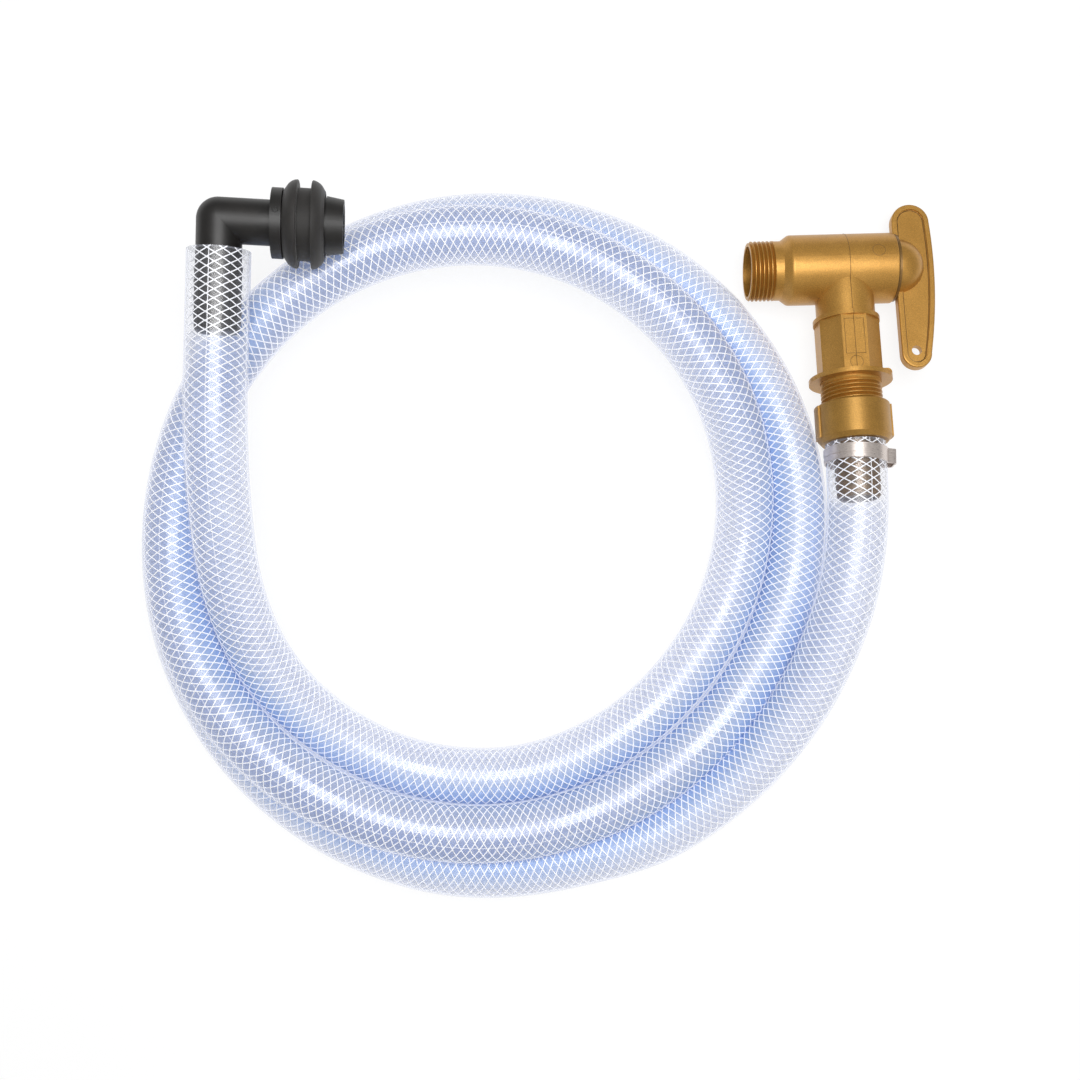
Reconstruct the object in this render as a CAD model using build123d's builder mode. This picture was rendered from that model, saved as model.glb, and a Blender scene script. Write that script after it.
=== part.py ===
from build123d import *
import math
import os

# Drain hose kit: a clear braided hose in two and a half loose turns, with a
# quarter-turn tap on one end and an elbow with a wall grommet on the other.
# +X runs from the elbow to the tap, +Z is up and the surface it lies on is z = 0.

os.makedirs("parts", exist_ok=True)

# ---- driving dimensions, mm ----
hose_outer_r = 13.0
hose_bore_r = 9.5

# Tap: the barrel lies along X, the branch points to -Y and rises a little.
tap_centre = Vector(118.6, 36.43, 15.5)
branch_rise = 10.7
barrel_r = 15.5
barrel_left = -24.8
barrel_right = 21.7
chamber_r = 13.2
chamber_left = -22.0
thread_r = 13.22
inlet_end = -42.6
inlet_thread_end = -31.4
inlet_neck_end = -28.2
inlet_bore_r = 11.1
shoulder_fillet = 2.6
barrel_end_fillet = 0.5
branch_r = 12.85
branch_bore_r = 8.8
collar_start = 24.0
collar_end = 26.0
collar_r = 14.5
octagon_flat_r = 13.15
flange_start = 51.2
flange_end = 53.2
flange_r = 18.0
branch_end = 72.0
strap_ear_size = (5.0, 5.2)
strap_ear_corner_r = 1.9
strap_ear_half_width = 2.6
strap_hole_r = 0.9

plug_clearance = 0.06
plug_left = -21.5
plug_right = 19.5
plug_bore_r = 10.6
port_r = 8.0
groove_depth = 1.4
groove_centres = (-16.5, 13.5)
stem_r = 5.0
stem_end = 23.2
stem_square = 6.4

lever_left = 23.2
lever_half_thickness = 2.5
lever_recess = 0.8
lever_rim = 2.3
lever_edge_r = 0.7
lever_hole_at = (39.4, 29.86)
lever_top = (-20.9, 31.6)
lever_top_r = 8.4
lever_tail = (40.8, 29.7)
lever_tail_r = 6.7
lever_hole_r = 2.15
lever_bow = (2.0, 40.6)
dome_centre = 23.4
dome_r = 12.6

nut_start = 63.7
nut_end = 80.6
nut_r = 15.9
nut_rib_r = 16.6
nut_rib_width = 8.0
nut_lip_start = 77.5
nut_lip_r = 9.9
nut_clearance = 0.08

tail_flange_r = 12.6
tail_flange_start = 74.0
tail_r = 9.35
tail_bore_r = 7.0
tail_end = 105.5
barb_r = 9.75
hose_tap_start = 81.0
straight_on_tail = 28.0

clamp_start = 83.6
clamp_width = 6.5
clamp_inner_r = 12.95
clamp_thickness = 0.9
clamp_ear_size = (5.6, 8.6)
clamp_ear_inside = (3.0, 6.6)

# Elbow: the nose points to +X and droops, the leg points to -Y and sinks a little.
elbow_corner = Vector(-147.43, 52.54, 66.0)
elbow_turn = -3.0
nose_drop = 7.0
leg_drop = 2.0
elbow_r = 9.3
elbow_bore_r = 6.8
leg_end = 46.0
hose_elbow_start = 12.5
elbow_flange_start = 21.2
elbow_flange_end = 25.6
elbow_flange_r = 14.3
neck_r = 11.42
nose_start = 43.3
nose_end = 50.2
nose_r = 12.0
nose_tip_r = 10.9
nose_bore_r = 8.2

grommet_bore_r = 11.5
grommet_start = 26.0
grommet_end = 42.6
grommet_r = 17.9
groove_r = 14.7
groove_start = 31.7
groove_end = 37.3

# Coil: a round-edged ring of the turns on the floor, and a second layer of hose.
coil_centre = (-46.63, -65.96)
coil_outer_r = 154.0
coil_outer_shift = -17.0
coil_inner_r = 107.0
coil_height = 26.0
coil_edge_r = 12.5
upper_centre = (-43.23, -82.06)
upper_r = 131.4
upper_section_r = 12.85
upper_height = 37.5
upper_start_angle = 48.0
upper_sweep = 230.0

# Free stretches of the hose, from each fitting down to the coil.
elbow_run_points = [
    (-150.13, 6.94, 64.4),
    (-151.53, -28.06, 66.4),
    (-152.53, -62.06, 60.0),
    (-151.7, -100.6, 47.5),
    (-140.9, -135.8, 32.0),
    (-117.2, -164.2, 19.0),
]
tap_run_points = [
    (113.57, -105.06, 36.0),
    (105.27, -130.86, 31.5),
    (92.57, -157.56, 25.0),
    (73.37, -183.06, 18.5),
    (48.27, -204.46, 14.2),
    (19.37, -220.16, 13.0),
]

# ---- directions, planes and axes ----
branch_dir = Vector(0, -math.cos(math.radians(branch_rise)), math.sin(math.radians(branch_rise)))
tap_up = Vector(0, math.sin(math.radians(branch_rise)), math.cos(math.radians(branch_rise)))
nose_flat = Vector(math.cos(math.radians(elbow_turn)), math.sin(math.radians(elbow_turn)), 0)
nose_dir = nose_flat * math.cos(math.radians(nose_drop)) - Vector(0, 0, math.sin(math.radians(nose_drop)))
leg_flat = Vector(math.sin(math.radians(elbow_turn)), -math.cos(math.radians(elbow_turn)), 0)
elbow_up = leg_flat.cross(nose_dir)
leg_dir = leg_flat * math.cos(math.radians(leg_drop)) - elbow_up * math.sin(math.radians(leg_drop))

barrel_axis = Axis(tap_centre, (1, 0, 0))
branch_axis = Axis(tap_centre, branch_dir)
nose_axis = Axis(elbow_corner, nose_dir)
leg_axis = Axis(elbow_corner, leg_dir)

# barrel_half: x along the barrel, y up. branch_half: x along the branch, y along the barrel.
barrel_half = Plane(origin=tap_centre, x_dir=(1, 0, 0), z_dir=branch_dir)
branch_half = Plane(origin=tap_centre, x_dir=branch_dir, z_dir=tap_up)
nose_half = Plane(origin=elbow_corner, x_dir=nose_dir, z_dir=leg_dir)
leg_half = Plane(origin=elbow_corner, x_dir=leg_dir, z_dir=nose_dir.cross(leg_dir))


def along_branch(distance):
    """Plane across the branch at this distance from the barrel's axis."""
    return Plane(origin=tap_centre + branch_dir * distance, x_dir=(1, 0, 0), z_dir=branch_dir)


def along_barrel(distance):
    """Plane across the barrel at this distance from the branch's axis."""
    return Plane(origin=tap_centre + Vector(distance, 0, 0), x_dir=branch_dir, z_dir=(1, 0, 0))


def turned(plane, axis, outline, mode=Mode.ADD):
    """Revolves a closed outline, drawn on a plane that holds the axis, into the current part."""
    with BuildSketch(plane) as half_section:
        with BuildLine():
            Polyline(*outline, close=True)
        make_face()
    revolve(half_section.sketch, axis=axis, mode=mode)


def barbed(start, count, pitch, root_r, tip_r):
    """Outline points of a row of barbs that slope down towards the spigot's free end."""
    points = []
    for index in range(count):
        foot = start + index * pitch
        points += [(foot, root_r), (foot, tip_r)]
    return points + [(start + count * pitch, root_r)]


# ---- tap ----
with BuildPart() as tap_body:
    turned(barrel_half, barrel_axis, [
        (inlet_end, 0), (inlet_end, thread_r - 0.7), (inlet_end + 1.0, thread_r),
        (inlet_thread_end, thread_r), (inlet_thread_end, thread_r - 0.15),
        (inlet_neck_end, thread_r - 0.15), (barrel_left, barrel_r),
        (barrel_right, barrel_r), (barrel_right, 0),
    ])
    rims = tap_body.edges().filter_by(GeomType.CIRCLE).group_by(Axis.X)
    fillet([rim for rim in rims[-1] if rim.radius > chamber_r], barrel_end_fillet)
    shoulder = tap_body.edges().filter_by(GeomType.CIRCLE).filter_by_position(
        Axis.X, tap_centre.X + barrel_left - 0.1, tap_centre.X + barrel_left + 0.1)
    fillet(shoulder, shoulder_fillet)
    turned(branch_half, branch_axis, [
        (0, 0), (0, branch_r), (collar_start, branch_r), (collar_start, collar_r),
        (collar_end, collar_r), (collar_end, branch_r), (flange_start, branch_r),
        (flange_start, flange_r), (flange_end, flange_r), (flange_end, thread_r),
        (branch_end - 0.8, thread_r), (branch_end, thread_r - 0.6), (branch_end, 0),
    ])
    with BuildSketch(along_branch(collar_end)):
        RegularPolygon(octagon_flat_r, 8, major_radius=False, rotation=22.5)
    extrude(amount=flange_start - collar_end)
    # Ear on the flange, for a cap's strap.
    with BuildSketch(branch_half):
        with Locations((flange_start - 1.3, flange_r - strap_ear_size[1] / 2)):
            RectangleRounded(*strap_ear_size, strap_ear_corner_r)
    extrude(amount=strap_ear_half_width, both=True)
    with BuildSketch(branch_half):
        with Locations((flange_start - 1.6, flange_r - 2.0)):
            Circle(strap_hole_r)
    extrude(amount=2 * strap_ear_half_width, both=True, mode=Mode.SUBTRACT)
    turned(barrel_half, barrel_axis, [
        (inlet_end, 0), (inlet_end, inlet_bore_r), (chamber_left, inlet_bore_r),
        (chamber_left, chamber_r), (barrel_right, chamber_r), (barrel_right, 0),
    ], Mode.SUBTRACT)
    turned(branch_half, branch_axis, [
        (0, 0), (0, branch_bore_r), (branch_end, branch_bore_r), (branch_end, 0),
    ], Mode.SUBTRACT)

plug_r = chamber_r - plug_clearance
with BuildPart() as valve_plug:
    turned(barrel_half, barrel_axis, [
        (plug_left, plug_bore_r), (plug_left, plug_r), (plug_right, plug_r),
        (plug_right, stem_r), (stem_end, stem_r), (stem_end, 0),
        (plug_right - 4.0, 0), (plug_right - 4.0, plug_bore_r),
    ])
    for centre in groove_centres:
        turned(barrel_half, barrel_axis, [
            (centre - 0.85, plug_r - groove_depth), (centre - 0.85, plug_r + 1),
            (centre + 0.85, plug_r + 1), (centre + 0.85, plug_r - groove_depth),
        ], Mode.SUBTRACT)
    with BuildSketch(along_barrel(stem_end)):
        Rectangle(stem_square, stem_square)
    extrude(amount=6.5)
    with BuildSketch(along_branch(0)):
        Circle(port_r)
    extrude(amount=plug_r + 1, mode=Mode.SUBTRACT)

seal_section_r = (chamber_r - 0.02 - (plug_r - groove_depth)) / 2 - 0.01
seals = []
for centre in groove_centres:
    with BuildPart() as plug_seal:
        with BuildSketch(barrel_half):
            with Locations((centre, plug_r - groove_depth + 0.01 + seal_section_r)):
                Circle(seal_section_r)
        revolve(axis=barrel_axis)
    seals.append(plug_seal)

with BuildPart() as retaining_ring:
    turned(barrel_half, barrel_axis, [
        (plug_right + 0.2, stem_r + plug_clearance), (plug_right + 0.2, chamber_r),
        (barrel_right + 0.25, chamber_r), (barrel_right + 0.25, barrel_r - 0.6),
        (lever_left - 0.25, barrel_r - 0.6), (lever_left - 0.25, stem_r + plug_clearance),
    ])

with BuildPart() as tap_handle:
    # Bowed plate: two round ends, a straight side at the barrel and a bowed side away from it.
    with BuildSketch(branch_half) as lever_face:
        with BuildLine():
            inner_top = (lever_top[0], lever_left)
            inner_tail = (lever_tail[0], lever_left)
            outer_top = (lever_top[0], lever_top[1] + lever_top_r)
            outer_tail = (lever_tail[0], lever_tail[1] + lever_tail_r)
            ThreePointArc(inner_top, (lever_top[0] - lever_top_r, lever_top[1]), outer_top)
            ThreePointArc(outer_top, lever_bow, outer_tail)
            ThreePointArc(outer_tail, (lever_tail[0] + lever_tail_r, lever_tail[1]), inner_tail)
            Line(inner_tail, inner_top)
        make_face()
    extrude(amount=lever_half_thickness, both=True)
    rim_edges = tap_handle.edges().group_by(Axis(tap_centre, tap_up))
    fillet(rim_edges[0] + rim_edges[-1], lever_edge_r)
    # Recessed panel on each broad face, inside a raised rim.
    for side in (1, -1):
        with BuildSketch(branch_half.offset(side * lever_half_thickness)):
            add(lever_face.sketch_local)
            offset(amount=-lever_rim, mode=Mode.REPLACE)
        extrude(amount=-side * lever_recess, mode=Mode.SUBTRACT)
    with BuildSketch(barrel_half):
        with BuildLine():
            dome_foot = math.sqrt(dome_r ** 2 - (lever_left - dome_centre) ** 2)
            Line((lever_left, 0), (lever_left, dome_foot))
            dome_slant = dome_r * math.sqrt(0.5)
            ThreePointArc((lever_left, dome_foot), (dome_centre + dome_slant, dome_slant),
                          (dome_centre + dome_r, 0))
            Line((dome_centre + dome_r, 0), (lever_left, 0))
        make_face()
    revolve(axis=barrel_axis)
    with BuildSketch(along_barrel(lever_left)):
        Rectangle(stem_square, stem_square)
    extrude(amount=6.7, mode=Mode.SUBTRACT)
    with BuildSketch(branch_half):
        with Locations(lever_hole_at):
            Circle(lever_hole_r)
    extrude(amount=4, both=True, mode=Mode.SUBTRACT)

with BuildPart() as union_nut:
    turned(branch_half, branch_axis, [
        (nut_start, thread_r + nut_clearance), (nut_start, nut_r - 0.5), (nut_start + 0.6, nut_r),
        (nut_end - 2.0, nut_r), (nut_end, nut_r - 1.6), (nut_end, nut_lip_r),
        (nut_lip_start, nut_lip_r), (nut_lip_start, thread_r + nut_clearance),
    ])
    with BuildSketch(along_branch(nut_start + 0.6)):
        with Locations((-nut_rib_r + 1.5, 0), (nut_rib_r - 1.5, 0)):
            Rectangle(3.0, nut_rib_width)
        Circle(nut_rib_r, mode=Mode.INTERSECT)
        Circle(nut_r - 0.3, mode=Mode.SUBTRACT)
    extrude(amount=nut_end - nut_start - 2.6)

with BuildPart() as tail_seal:
    with BuildSketch(along_branch(branch_end + 0.1)):
        Circle(tail_flange_r - 0.2)
        Circle(branch_bore_r, mode=Mode.SUBTRACT)
    extrude(amount=tail_flange_start - branch_end - 0.2)

with BuildPart() as hose_tail:
    turned(branch_half, branch_axis, [
        (tail_flange_start, tail_bore_r), (tail_flange_start, tail_flange_r),
        (nut_lip_start - 0.2, tail_flange_r), (nut_lip_start - 0.2, tail_r),
        *barbed(88.0, 3, 5.0, tail_r, barb_r),
        (tail_end - 1.2, tail_r), (tail_end, tail_r - 1.0), (tail_end, tail_bore_r),
    ])

with BuildPart() as hose_clamp:
    with BuildSketch(along_branch(clamp_start)):
        Circle(clamp_inner_r + clamp_thickness)
        # Ear: a raised, hollow pinch on the band's right side.
        with Locations((clamp_inner_r + 1.9, 0)):
            Rectangle(*clamp_ear_size)
        Circle(clamp_inner_r, mode=Mode.SUBTRACT)
        with Locations((clamp_inner_r + 2.4, 0)):
            Rectangle(*clamp_ear_inside, mode=Mode.SUBTRACT)
    extrude(amount=clamp_width)

# ---- elbow and grommet ----
with BuildPart() as elbow:
    turned(nose_half, nose_axis, [
        (0, 0), (0, elbow_r), (elbow_flange_start, elbow_r), (elbow_flange_start, elbow_flange_r),
        (elbow_flange_end, elbow_flange_r), (elbow_flange_end, neck_r), (nose_start, neck_r),
        (nose_start, nose_r), (nose_end, nose_tip_r), (nose_end, 0),
    ])
    turned(leg_half, leg_axis, [
        (0, 0), (0, elbow_r),
        *barbed(19.0, 4, 6.0, elbow_r, barb_r),
        (leg_end - 1.5, elbow_r), (leg_end, elbow_r - 1.2), (leg_end, 0),
    ])
    with Locations(elbow_corner):
        Sphere(elbow_r)
    turned(leg_half, leg_axis, [
        (0, 0), (0, elbow_bore_r), (leg_end, elbow_bore_r), (leg_end, 0),
    ], Mode.SUBTRACT)
    turned(nose_half, nose_axis, [
        (0, 0), (0, elbow_bore_r), (elbow_flange_start, elbow_bore_r),
        (elbow_flange_end, nose_bore_r), (nose_end, nose_bore_r), (nose_end, 0),
    ], Mode.SUBTRACT)

with BuildPart() as rubber_grommet:
    with BuildSketch(nose_half):
        with BuildLine():
            flank = grommet_r - 2.2
            Polyline(
                (grommet_start + 1.5, grommet_bore_r), (grommet_start, grommet_bore_r + 1.5),
                (grommet_start, groove_r - 1.0), (grommet_start + 1.4, flank),
            )
            ThreePointArc((grommet_start + 1.4, flank), (groove_start - 2.2, grommet_r - 0.45),
                          (groove_start - 0.3, grommet_r))
            Polyline(
                (groove_start - 0.3, grommet_r), (groove_start, grommet_r - 0.3),
                (groove_start, groove_r), (groove_end, groove_r),
                (groove_end, grommet_r - 0.3), (groove_end + 0.3, grommet_r),
            )
            ThreePointArc((groove_end + 0.3, grommet_r), (groove_end + 2.0, grommet_r - 0.5),
                          (grommet_end - 1.2, flank))
            Polyline(
                (grommet_end - 1.2, flank), (grommet_end, groove_r - 1.0),
                (grommet_end, grommet_bore_r + 1.5), (grommet_end - 1.5, grommet_bore_r),
                (grommet_start + 1.5, grommet_bore_r),
            )
        make_face()
    revolve(axis=nose_axis)


# ---- hose ----
def corner_radii(points):
    """One radius per corner: 0.45 of the shorter run over the tangent of half the turn."""
    radii = []
    for before, corner, after in zip(points, points[1:], points[2:]):
        run_in = corner - before
        run_out = after - corner
        half_turn = math.radians(run_in.get_angle(run_out)) / 2
        radii.append(0.45 * min(run_in.length, run_out.length) / math.tan(half_turn))
    return radii


def check_tube(name, tube, path, radii):
    """Prints the arc radii and compares the tube's volume with its section times its length."""
    section = math.pi * (hose_outer_r ** 2 - hose_bore_r ** 2)
    print(name, "radii", [round(radius) for radius in radii], "length", round(path.length, 1))
    print(name, "volume ratio", round(tube.part.volume / (section * path.length), 4))


elbow_route = [elbow_corner + leg_dir * hose_elbow_start] + [Vector(*p) for p in elbow_run_points]
elbow_radii = corner_radii(elbow_route)
with BuildPart() as hose_elbow_run:
    with BuildLine() as elbow_path:
        FilletPolyline(*elbow_route, radius=elbow_radii)
    with BuildSketch(Plane(origin=elbow_route[0], z_dir=elbow_route[1] - elbow_route[0])):
        Circle(hose_outer_r)
        Circle(hose_bore_r, mode=Mode.SUBTRACT)
    sweep(path=elbow_path.wire())
check_tube("hose_elbow_run", hose_elbow_run, elbow_path.wire(), elbow_radii)

tap_route = [
    tap_centre + branch_dir * hose_tap_start,
    tap_centre + branch_dir * (hose_tap_start + straight_on_tail),
] + [Vector(*p) for p in tap_run_points]
tap_radii = corner_radii(tap_route)
with BuildPart() as hose_tap_run:
    with BuildLine() as tap_path:
        FilletPolyline(*tap_route, radius=tap_radii)
    with BuildSketch(Plane(origin=tap_route[0], z_dir=branch_dir)):
        Circle(hose_outer_r)
        Circle(hose_bore_r, mode=Mode.SUBTRACT)
    sweep(path=tap_path.wire())
check_tube("hose_tap_run", hose_tap_run, tap_path.wire(), tap_radii)

with BuildPart() as hose_coil:
    with BuildSketch():
        with Locations((coil_centre[0], coil_centre[1] + coil_outer_shift)):
            Circle(coil_outer_r)
        with Locations(coil_centre):
            Circle(coil_inner_r, mode=Mode.SUBTRACT)
    extrude(amount=coil_height)
    fillet(hose_coil.edges(), coil_edge_r)
    upper_start = Plane(
        origin=(upper_centre[0], upper_centre[1], 0),
        x_dir=(math.cos(math.radians(upper_start_angle)), math.sin(math.radians(upper_start_angle)), 0),
        z_dir=(math.sin(math.radians(upper_start_angle)), -math.cos(math.radians(upper_start_angle)), 0),
    )
    with BuildSketch(upper_start):
        with Locations((upper_r, upper_height)):
            Circle(upper_section_r)
    revolve(axis=Axis((upper_centre[0], upper_centre[1], 0), (0, 0, 1)), revolution_arc=upper_sweep)

# ---- hand-over: one node per piece ----
pieces = {
    "tap_body": tap_body,
    "valve_plug": valve_plug,
    "plug_seal_inner": seals[0],
    "plug_seal_outer": seals[1],
    "retaining_ring": retaining_ring,
    "tap_handle": tap_handle,
    "union_nut": union_nut,
    "tail_seal": tail_seal,
    "hose_tail": hose_tail,
    "hose_clamp": hose_clamp,
    "elbow": elbow,
    "rubber_grommet": rubber_grommet,
    "hose_elbow_run": hose_elbow_run,
    "hose_tap_run": hose_tap_run,
    "hose_coil": hose_coil,
}
for name, piece in pieces.items():
    piece.part.label = name
    export_step(piece.part, "parts/" + name + ".step")
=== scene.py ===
"""Drain hose kit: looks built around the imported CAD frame."""

import math

import bmesh
import bpy
from mathutils import Matrix, Vector


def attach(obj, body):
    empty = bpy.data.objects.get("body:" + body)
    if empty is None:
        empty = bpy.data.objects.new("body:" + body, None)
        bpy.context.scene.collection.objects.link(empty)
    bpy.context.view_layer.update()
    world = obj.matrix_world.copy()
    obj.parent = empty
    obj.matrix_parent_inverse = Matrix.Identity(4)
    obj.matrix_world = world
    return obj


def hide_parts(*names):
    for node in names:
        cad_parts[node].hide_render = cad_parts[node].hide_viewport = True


MM = 0.001

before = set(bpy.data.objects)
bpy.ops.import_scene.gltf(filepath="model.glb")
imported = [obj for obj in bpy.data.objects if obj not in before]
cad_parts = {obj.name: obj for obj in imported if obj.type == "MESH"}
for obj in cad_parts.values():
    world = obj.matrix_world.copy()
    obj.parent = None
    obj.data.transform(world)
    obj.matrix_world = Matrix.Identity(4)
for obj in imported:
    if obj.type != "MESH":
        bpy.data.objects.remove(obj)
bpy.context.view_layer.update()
ROOT = "hose_and_fittings"
scene = bpy.context.scene


# ---- facts: lengths in metres, angles in radians, unless a comment says otherwise ----
CAMERA_AT = Vector((-20.09, -81.40, 572.0)) * MM
CAMERA_ROLL = math.radians(-1.5)
CAMERA_LENS = 41.33  # millimetres
SENSOR_WIDTH = 36  # millimetres

# Hose: a clear skin, the braid just under it, a milky body inside that, and the bore's lining.
HOSE_R = 13.0 * MM
BORE_R = 9.5 * MM
YARN_LAYER_R = 12.4 * MM
YARNS_EACH_WAY = 12
YARN_PITCH = 44.3 * MM
YARN_WIDTH = 0.52 * MM
YARN_THICKNESS = 0.3 * MM
YARN_CROSSING = 0.12 * MM
BODY_R = 11.9 * MM
MARKER_R = YARN_LAYER_R - 0.7 * MM
MARKER_WIDTH = 0.4 * MM
MARKER_THICKNESS = 0.3 * MM
MARKER_FACING = Vector((-0.08, 0, 1))
WALL_SPACING = 3.0 * MM
YARN_SPACING = 2.2 * MM
HOSE_SIDES, BODY_SIDES, BORE_SIDES, CUT_FACE_SIDES = 56, 48, 40, 48

# Strands that lie side by side tint each other, and the body is painted darker there as painted shade.
# Points nearer than SAME_STRAND along the hose belong to one strand.
STRAND_REACH = 3.3 * HOSE_R
TINT_AND_SHADE_REACH = 1.45 * HOSE_R
SAME_STRAND = 0.2

# Where a spigot fills the hose, this much of the body's milkiness is left.
MILK_ON_SPIGOT = 0.06
MILK_FADE = 4 * MM

# Tap: barrel along X, branch to -Y, rising a little. Elbow: nose to +X, leg to -Y.
TAP_CENTRE = Vector((118.6, 36.43, 15.5)) * MM
BARREL_DIR = Vector((1, 0, 0))
BRANCH_RISE = math.radians(10.7)
BRANCH_DIR = Vector((0, -math.cos(BRANCH_RISE), math.sin(BRANCH_RISE)))
TAP_UP = Vector((0, math.sin(BRANCH_RISE), math.cos(BRANCH_RISE)))
HOSE_STARTS_ON_TAIL = 81.0 * MM
TAIL_END = 105.5 * MM
STRAIGHT_ON_TAIL = 28.0 * MM
ELBOW_CORNER = Vector((-147.43, 52.54, 66.0)) * MM
ELBOW_TURN = math.radians(-3.0)
NOSE_DROP = math.radians(7.0)
LEG_DROP = math.radians(2.0)
NOSE_DIR = Vector((
    math.cos(ELBOW_TURN) * math.cos(NOSE_DROP),
    math.sin(ELBOW_TURN) * math.cos(NOSE_DROP),
    -math.sin(NOSE_DROP),
))
LEG_FLAT = Vector((math.sin(ELBOW_TURN), -math.cos(ELBOW_TURN), 0))
LEG_DIR = LEG_FLAT * math.cos(LEG_DROP) - LEG_FLAT.cross(NOSE_DIR) * math.sin(LEG_DROP)

HOSE_STARTS_ON_SPIGOT = 12.5 * MM
SPIGOT_END = 46.0 * MM

# Sizes on the tap, measured along the barrel or along the branch from the barrel's axis.
BARREL_R = 15.5 * MM
BRANCH_R = 12.85 * MM
COLLAR_R = 14.5 * MM
COLLAR_START, COLLAR_END = 24.0 * MM, 26.0 * MM
OCTAGON_FLAT_R = 13.15 * MM
FLANGE_START = 51.2 * MM
BRANCH_END, BRANCH_THREAD_END = 72.0 * MM, 54.0 * MM
INLET_END, INLET_THREAD_END = 42.6 * MM, 31.6 * MM
THREAD_R = 13.22 * MM
THREAD_PITCH = 1.814 * MM
THREAD_DEPTH = 1.16 * MM
THREAD_CREST = 0.3 * MM
CUTTER_STEPS_PER_TURN = 48
SHARP_ANGLE = math.radians(35)
BEVEL_ANGLE = math.radians(38)
CLAMP_MIDDLE = 86.85 * MM
CLAMP_TILT = math.radians(-3.5)

# Moulding marks are thin beads. Places on the tap are measured as above; a gate ring sits on
# the elbow's flange, which is measured along the nose from the elbow's corner.
BEAD_SIDES = 6
MARK_R = 0.13 * MM
FINE_MARK_R = MARK_R * 0.8
RIM_LINE_R = MARK_R * 1.7
LEVER_PANEL = 1.72 * MM
EJECTOR_R = 2.75 * MM
EJECTOR_ALONG_BARREL, EJECTOR_ROUND_BARREL = 12.8 * MM, 2.4 * MM
EJECTOR_ALONG_BRANCH = 47.6 * MM
OUTLINE_HALF_WIDTH = 4.2 * MM
OUTLINE_START, OUTLINE_END = 28.0 * MM, 43.8 * MM
ELBOW_FLANGE_R = 14.3 * MM
GATE_R = 1.15 * MM
GATE_ALONG_NOSE, GATE_ROUND_FLANGE = 23.4 * MM, 2.1 * MM

FLOOR_HALF = 3.0
LIGHTS_AIM = Vector((0, -0.05, 0))

# Free stretches of the hose, in mm, as the CAD has them.
ELBOW_RUN = [
    (-150.13, 6.94, 64.4),
    (-151.53, -28.06, 66.4),
    (-152.53, -62.06, 60.0),
    (-151.7, -100.6, 47.5),
    (-140.9, -135.8, 32.0),
    (-117.2, -164.2, 19.0),
]
TAP_RUN = [
    (113.57, -105.06, 36.0),
    (105.27, -130.86, 31.5),
    (92.57, -157.56, 25.0),
    (73.37, -183.06, 18.5),
    (48.27, -204.46, 14.2),
    (19.37, -220.16, 13.0),
]

# Coil: at these angles (degrees, counter-clockwise, two turns and more) the hose's
# centreline is this far from the coil's middle and this high, in mm.
COIL_CENTRE = Vector((-46.73, -65.76, 0))
COIL_ANGLE_OFFSET = -1.5
COIL_KNOTS = [
    (250, 121.0, 14.5), (270, 122.1, 13), (285, 122.0, 13), (310, 118.9, 13), (340, 118.9, 13),
    (360, 119.0, 15.5), (380, 118.2, 26.5), (400, 117.4, 31.5), (420, 116.8, 34.2),
    (450, 116.7, 36.8), (470, 117.5, 37.5), (490, 119.7, 38), (510, 122.9, 38.2),
    (540, 129.0, 38.2), (557, 135.0, 38.3), (581, 141.3, 37.2), (612, 142.9, 32),
    (635, 144.3, 27), (660, 144.5, 20), (680, 144.5, 15), (703, 144.3, 13),
    (721, 143.4, 13), (732, 142.0, 13), (740, 139.4, 13), (760, 135.6, 13),
    (780, 131.7, 13), (800, 128.6, 13), (825, 126.8, 13), (850, 127.2, 13),
    (870, 129.5, 13), (890, 134.0, 13), (900, 137.4, 13), (917, 143.5, 13),
    (940, 151.3, 13), (972, 159.8, 13), (995, 164.8, 13),
]
COIL_FIRST_ANGLE = 255
COIL_STEP = 21
COIL_POINTS = 36
ROUTE_RESOLUTION = 12


def between(knots, angle):
    """Radius and height at an angle, straight between the knots on each side."""
    for (a0, r0, z0), (a1, r1, z1) in zip(knots, knots[1:]):
        if angle <= a1:
            t = (angle - a0) / (a1 - a0)
            return r0 + (r1 - r0) * t, z0 + (z1 - z0) * t
    return knots[-1][1:]


def coil_points():
    """Control points of the turns. A spline runs inside its points, so they stand a little further out."""
    outward = 1 / math.cos(math.radians(COIL_STEP / 2))
    points = []
    for index in range(COIL_POINTS):
        angle = COIL_FIRST_ANGLE + COIL_STEP * index
        radius, height = between(COIL_KNOTS, angle)
        turn = math.radians(angle + COIL_ANGLE_OFFSET)
        reach = radius * outward
        points.append(COIL_CENTRE + Vector((reach * math.cos(turn), reach * math.sin(turn), height)))
    return points


def hose_route():
    """The hose's control points from the elbow to the tap, in metres."""
    elbow_end = [(ELBOW_CORNER + LEG_DIR * HOSE_STARTS_ON_SPIGOT) / MM] + [Vector(p) for p in ELBOW_RUN]
    tap_end = [Vector(p) for p in reversed(TAP_RUN)] + [
        (TAP_CENTRE + BRANCH_DIR * (HOSE_STARTS_ON_TAIL + STRAIGHT_ON_TAIL)) / MM,
        (TAP_CENTRE + BRANCH_DIR * HOSE_STARTS_ON_TAIL) / MM,
    ]
    return [p * MM for p in elbow_end + coil_points() + tap_end]


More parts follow.
